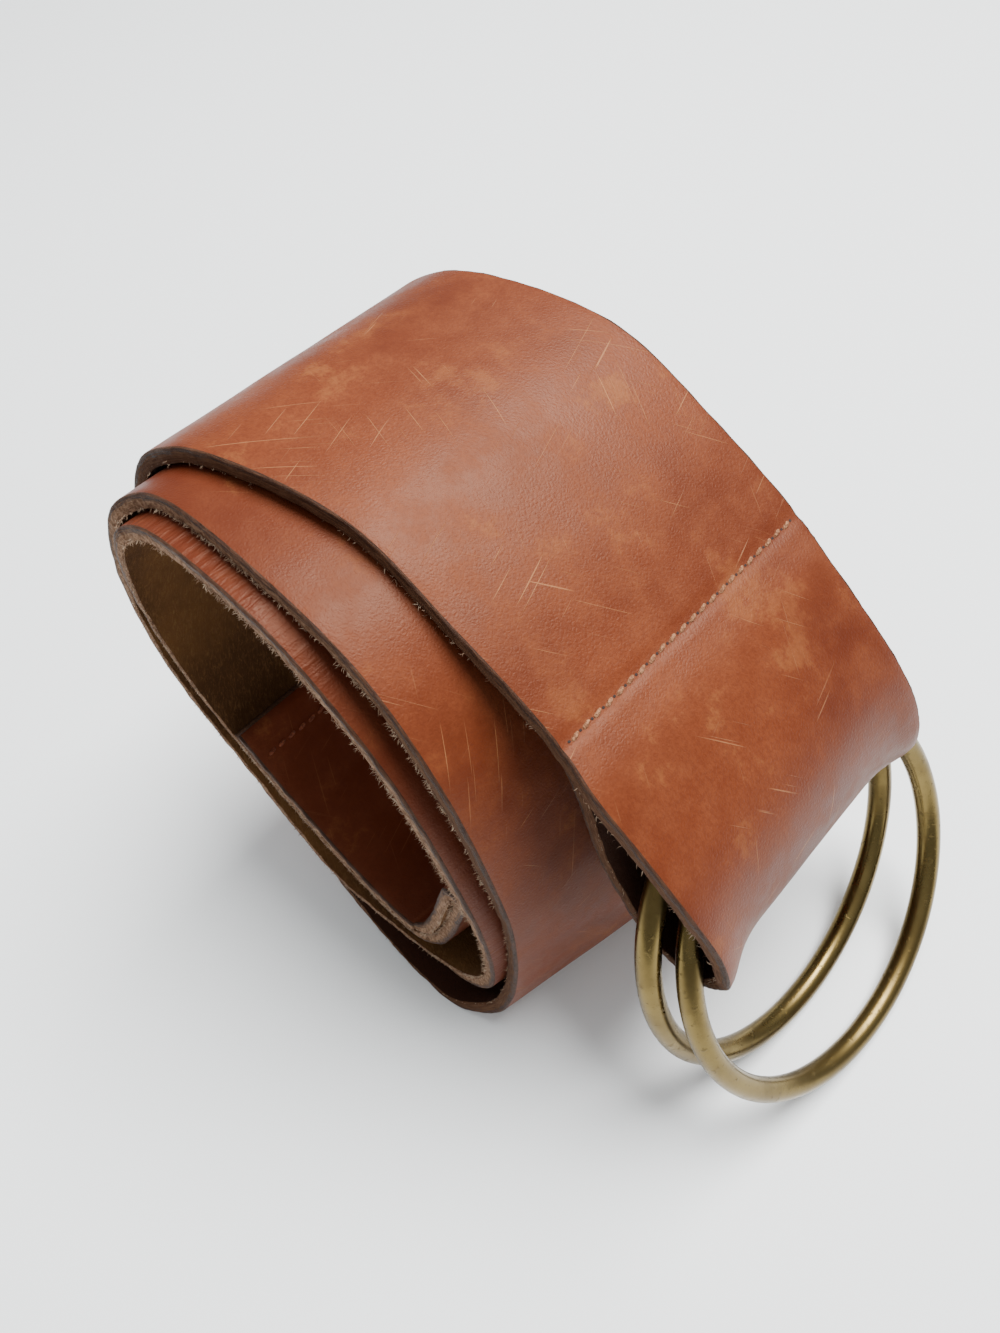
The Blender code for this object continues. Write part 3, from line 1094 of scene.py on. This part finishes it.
def add_floor():
    """A wide pale floor under the belt."""
    mesh = bpy.data.meshes.new("floor")
    corners = []
    for aside, back in ((-1, -1), (1, -1), (1, 1), (-1, 1)):
        corners.append((aside * FLOOR_HALF, back * FLOOR_HALF, 0.0))
    mesh.from_pydata(corners, [], [(0, 1, 2, 3)])
    floor = bpy.data.objects.new("floor", mesh)
    bpy.context.scene.collection.objects.link(floor)
    paper = bpy.data.materials.new("pale_floor")
    paper.use_nodes = True
    shader = paper.node_tree.nodes["Principled BSDF"]
    shader.inputs["Base Color"].default_value = (*FLOOR_COLOUR, 1.0)
    shader.inputs["Roughness"].default_value = FLOOR_ROUGHNESS
    mesh.materials.append(paper)


def add_light():
    """One soft lamp above the belt, turned to face it."""
    lamp = bpy.data.lights.new("overhead", "AREA")
    lamp.shape = "RECTANGLE"
    lamp.size, lamp.size_y = LAMP_SIZE
    lamp.energy = LAMP_POWER
    light = bpy.data.objects.new("overhead", lamp)
    light.location = LAMP_PLACE
    light.rotation_euler = Vector(LAMP_PLACE).to_track_quat("Z", "Y").to_euler()
    bpy.context.scene.collection.objects.link(light)


def add_world():
    """A pale studio room, brighter overhead than at the horizon."""
    world = bpy.data.worlds.new("studio")
    world.use_nodes = True
    nodes = world.node_tree.nodes
    links = world.node_tree.links
    background = nodes["Background"]
    background.inputs["Color"].default_value = (*SKY_COLOUR, 1.0)
    split = nodes.new("ShaderNodeSeparateXYZ")
    height = nodes.new("ShaderNodeMapRange")
    height.interpolation_type = "SMOOTHSTEP"
    height.inputs["From Min"].default_value = 0.0
    height.inputs["From Max"].default_value = SKY_FULL_HEIGHT
    height.inputs["To Min"].default_value = SKY_LOW
    height.inputs["To Max"].default_value = SKY_ABOVE
    links.new(nodes.new("ShaderNodeTexCoord").outputs["Generated"], split.inputs["Vector"])
    links.new(split.outputs["Z"], height.inputs["Value"])
    links.new(height.outputs["Result"], background.inputs["Strength"])
    bpy.context.scene.world = world


def add_camera(origin):
    """The photograph's camera, moved from the oval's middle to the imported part's origin."""
    lens = bpy.data.cameras.new("camera")
    lens.lens = CAMERA_LENS
    lens.sensor_fit = "HORIZONTAL"
    lens.clip_start = CAMERA_NEAREST
    camera = bpy.data.objects.new("camera", lens)
    turned = (
        Matrix.Rotation(CAMERA_HEADING, 4, "Z")
        @ Matrix.Rotation(math.pi / 2 - CAMERA_PITCH, 4, "X")
        @ Matrix.Rotation(CAMERA_ROLL, 4, "Z")
    )
    place = (np.array(CAMERA_PLACE) - origin) / 1000
    camera.matrix_world = Matrix.Translation(place) @ turned
    bpy.context.scene.collection.objects.link(camera)
    bpy.context.scene.camera = camera


def main():
    route = belt_route()
    near, ways, inward = belt_frames(route)
    corners = [near + a * ways + d * inward for a in (0.0, BELT_WIDTH) for d in (0.0, BELT_THICK)]
    floor = min(corner[:, 2].min() for corner in corners) + FOOT_PRESS
    stances = {}
    for name, along, aside, middle in RING_PLACES:
        stances[name] = ring_stance(along, aside, middle, floor)
    origin = packed_origin(corners, stances, floor)
    strap = (near - origin, ways, inward, along_route(route))
    add_strap(strap, route, (grain_leather(), flesh_leather(), cut_edge()))
    add_fibres(strap, fibre_look())
    places = strap[3]
    under, top = seam_places(places)
    margin = (STITCH_MARGIN, BELT_WIDTH - STITCH_MARGIN)
    seam_rows = [(top, *margin, STITCHES), (under, *margin, STITCHES)]
    thread = thread_look("seam_thread", THREAD_DARK, THREAD_PALE)
    hem_thread = thread_look("hem_thread", HEM_THREAD_DARK, HEM_THREAD_PALE)
    # Painted shade for the needle holes
    hole = hole_shade_look()
    add_stitches("seam_stitches", strap, seam_rows, thread)
    add_holes("seam_holes", strap, seam_rows, hole)
    hem_rows = [(places[-1] - HEM_STITCH_INSET, *margin, STITCHES)]
    add_stitches("hem_stitches", strap, hem_rows, hem_thread)
    brass = ring_brass()
    for seed, (name, (place, lean)) in enumerate(stances.items()):
        add_ring(name, np.array(place) - origin, lean, seed, brass)
    add_floor()
    add_light()
    add_world()
    add_camera(origin)


def packed_origin(corners, stances, floor):
    """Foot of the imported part's box, from the middle of its sides and its lowest point."""
    low = np.min([corner.min(axis=0) for corner in corners], axis=0)
    high = np.max([corner.max(axis=0) for corner in corners], axis=0)
    for place, lean in stances.values():
        reach = ring_radius() * np.array([math.sin(lean), 1.0, math.cos(lean)]) + RING_WIRE / 2
        low = np.minimum(low, np.array(place) - reach)
        high = np.maximum(high, np.array(place) + reach)
    return np.array([(low[0] + high[0]) / 2, (low[1] + high[1]) / 2, floor])


main()
